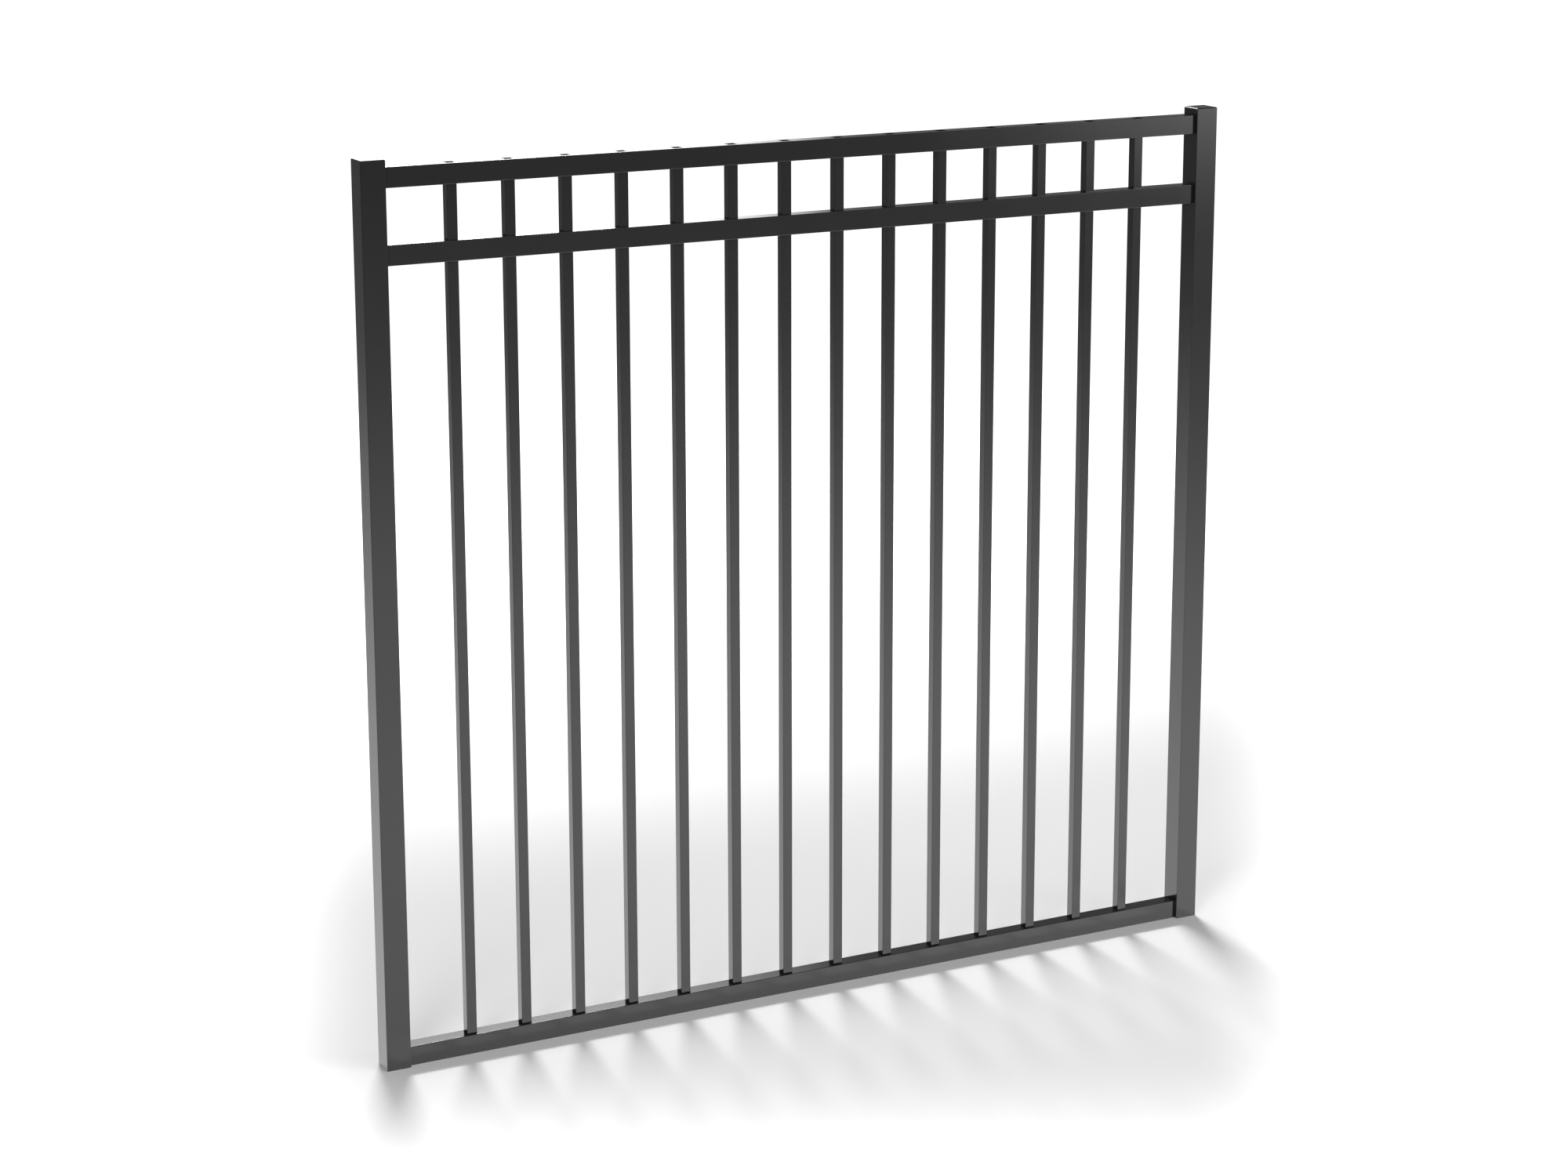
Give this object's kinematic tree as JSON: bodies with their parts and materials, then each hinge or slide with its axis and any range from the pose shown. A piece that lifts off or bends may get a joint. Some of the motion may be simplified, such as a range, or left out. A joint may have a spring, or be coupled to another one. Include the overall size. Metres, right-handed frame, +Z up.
{
  "type": "pool gate leaf",
  "caption": "Flat-top pool gate leaf: square tube uprights with flat caps, channel rails and square pickets through the rails, all in black powder coat.",
  "frame": {"origin": "foot of the left upright's outer side face, midway between its front and back", "axes": "+X along the gate from the left upright to the right one, +Y towards the back, +Z up"},
  "size_m": [1.4503, 0.0382, 1.3716],
  "materials": {
    "black_powder_coat": "semi-gloss black powder coat on extruded aluminium",
    "black_cap_plastic": "moulded black plastic, semi-gloss"
  },
  "bodies": {
    "root": {"left_upright": "black_powder_coat", "right_upright": "black_powder_coat", "bottom_rail": "black_powder_coat", "mid_rail": "black_powder_coat", "top_rail": "black_powder_coat", "picket_01": "black_powder_coat", "picket_02": "black_powder_coat", "picket_03": "black_powder_coat", "picket_04": "black_powder_coat", "picket_05": "black_powder_coat", "picket_06": "black_powder_coat", "picket_07": "black_powder_coat", "picket_08": "black_powder_coat", "picket_09": "black_powder_coat", "picket_10": "black_powder_coat", "picket_11": "black_powder_coat", "picket_12": "black_powder_coat", "picket_13": "black_powder_coat", "picket_14": "black_powder_coat", "left_upright_cap": "black_cap_plastic", "right_upright_cap": "black_cap_plastic", "picket_plug_01": "black_cap_plastic", "picket_plug_02": "black_cap_plastic", "picket_plug_03": "black_cap_plastic", "picket_plug_04": "black_cap_plastic", "picket_plug_05": "black_cap_plastic", "picket_plug_06": "black_cap_plastic", "picket_plug_07": "black_cap_plastic", "picket_plug_08": "black_cap_plastic", "picket_plug_09": "black_cap_plastic", "picket_plug_10": "black_cap_plastic", "picket_plug_11": "black_cap_plastic", "picket_plug_12": "black_cap_plastic", "picket_plug_13": "black_cap_plastic", "picket_plug_14": "black_cap_plastic"}
  },
  "joints": []
}
